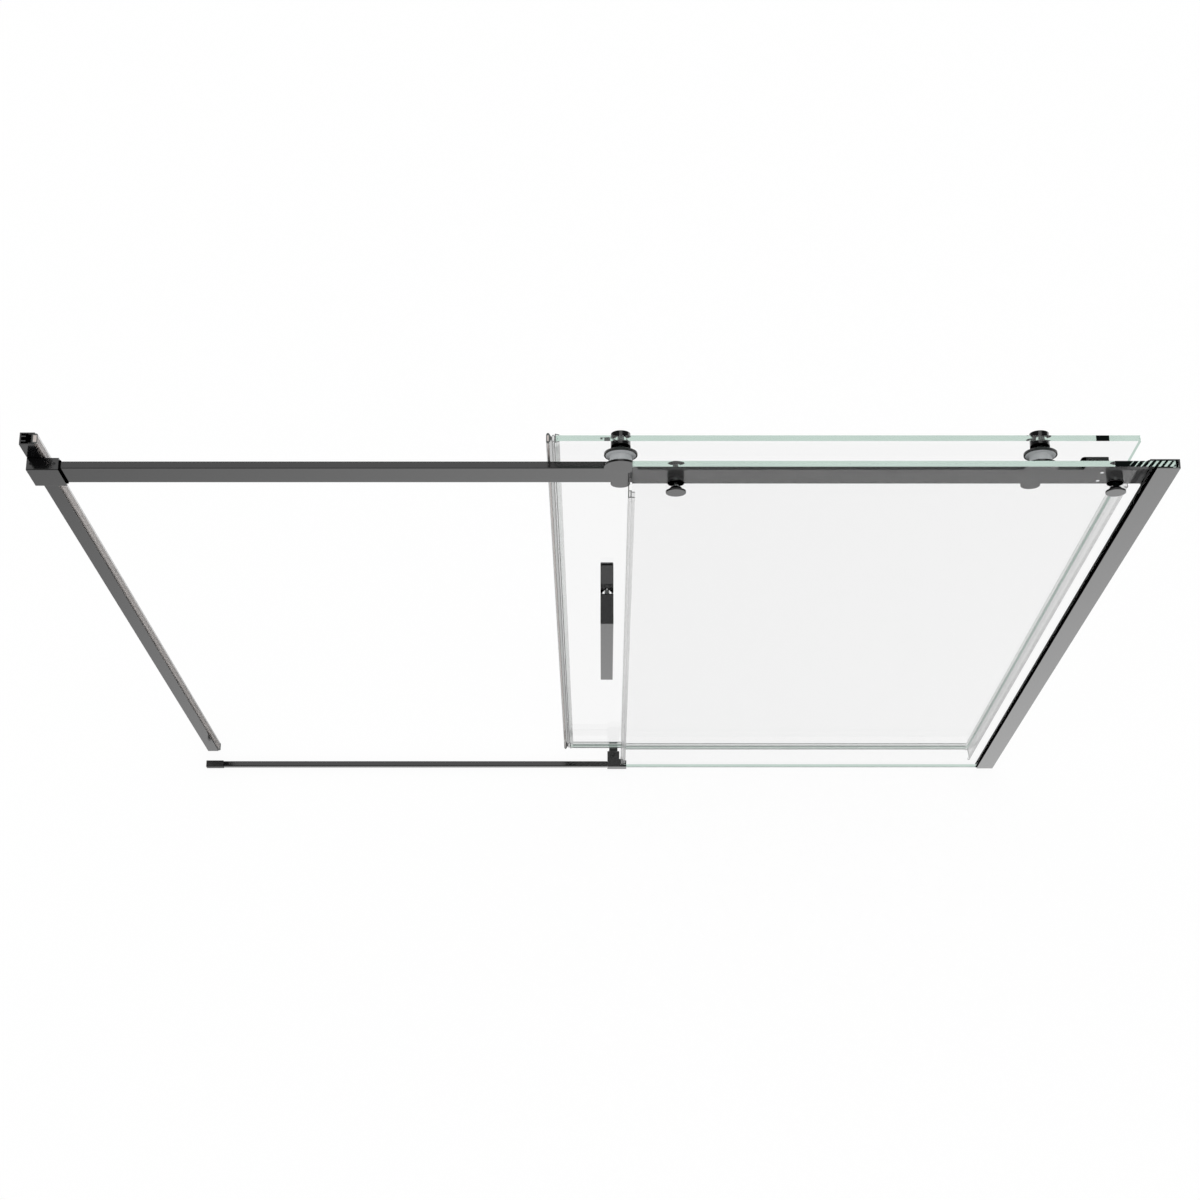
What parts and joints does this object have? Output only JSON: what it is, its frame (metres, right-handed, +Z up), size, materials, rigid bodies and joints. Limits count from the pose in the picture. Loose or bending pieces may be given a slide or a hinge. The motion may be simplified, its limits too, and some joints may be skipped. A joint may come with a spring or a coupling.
{
  "type": "sliding bathtub door",
  "caption": "Frameless sliding bathtub door: a fixed glass panel, a header bar and a rolling glass door with a pull handle.",
  "frame": {"origin": "on the tub deck, at the middle of the opening and of the fixed glass panel's thickness", "axes": "+X to the right along the opening as seen from the room, +Y from the room towards the tub, +Z up"},
  "size_m": [1.5, 0.106, 1.5],
  "materials": {
    "black_finish": "smooth satin black finish on steel and aluminium",
    "black_rubber": "moulded black rubber",
    "black_nylon": "moulded black nylon",
    "grey_nylon": "moulded light grey nylon",
    "clear_pvc": "extruded clear PVC",
    "magnet": "magnetic rubber strip",
    "clear_glass": "clear tempered glass with polished edges",
    "black_steel": "black oxide steel",
    "bright_steel": "turned stainless steel"
  },
  "bodies": {
    "frame": {"header_bar": "black_finish", "header_bracket_left": "black_finish", "header_bracket_right": "black_finish", "bracket_liners": "black_rubber", "wall_anchors": "bright_steel", "bracket_screws": "black_steel", "wall_channel": "black_finish", "channel_gaskets": "black_rubber", "jamb_channel": "black_finish", "jamb_insert": "black_nylon", "jamb_screws": "black_steel", "strike_strip": "clear_pvc", "strike_magnet": "magnet", "fixed_glass": "clear_glass", "glass_bottom_strip": "clear_pvc", "fixed_edge_seal": "clear_pvc", "clamp_caps": "black_finish", "clamp_washers": "black_rubber", "clamp_sleeves": "black_nylon", "clamp_standoffs": "black_finish", "clamp_screws": "bright_steel", "stop_body": "black_finish", "stop_bumper": "black_rubber", "stop_screws": "black_steel", "threshold_rail": "black_finish", "rail_end_cap": "black_nylon", "guide_block": "black_finish", "corner_pad": "black_rubber", "guide_screw": "black_steel", "guide_insert": "black_nylon", "guide_clip": "clear_pvc"},
    "door": {"sliding_glass": "clear_glass", "leading_seal": "clear_pvc", "leading_magnet": "magnet", "trailing_seal": "clear_pvc", "bottom_sweep": "clear_pvc", "roller_axles": "black_finish", "roller_sleeves": "black_nylon", "roller_gaskets": "black_rubber", "roller_knobs": "black_finish", "bearing_inner_rings": "bright_steel", "axle_clips": "bright_steel", "anti_jump_discs": "black_finish", "anti_jump_gaskets": "black_rubber", "anti_jump_caps": "black_finish", "anti_jump_screws": "bright_steel", "handle_front": "black_finish", "handle_back": "black_finish", "handle_studs": "bright_steel", "handle_sleeves": "black_nylon", "handle_gaskets": "black_rubber"},
    "roller_left": {"roller_wheel_left": "grey_nylon", "roller_discs_left": "black_finish", "bearing_outer_left": "bright_steel"},
    "roller_right": {"roller_wheel_right": "grey_nylon", "roller_discs_right": "black_finish", "bearing_outer_right": "bright_steel"}
  },
  "joints": [
    {"name": "door_slide", "type": "slide", "parent": "frame", "child": "door", "axis": [1, 0, 0], "range_m": [-0.6575, 0.015]},
    {"name": "roller_left_spin", "type": "hinge", "parent": "door", "child": "roller_left", "pos_m": [0.0292, 0.0192, 1.465], "axis": [0, 1, 0], "range_deg": [-2520, 60]},
    {"name": "roller_right_spin", "type": "hinge", "parent": "door", "child": "roller_right", "pos_m": [0.5778, 0.0192, 1.465], "axis": [0, 1, 0], "range_deg": [-2520, 60]}
  ],
  "couplings": [
    {"joint": "roller_left_spin", "follows": "door_slide", "rad_per_m": 66.667},
    {"joint": "roller_right_spin", "follows": "door_slide", "rad_per_m": 66.667}
  ]
}
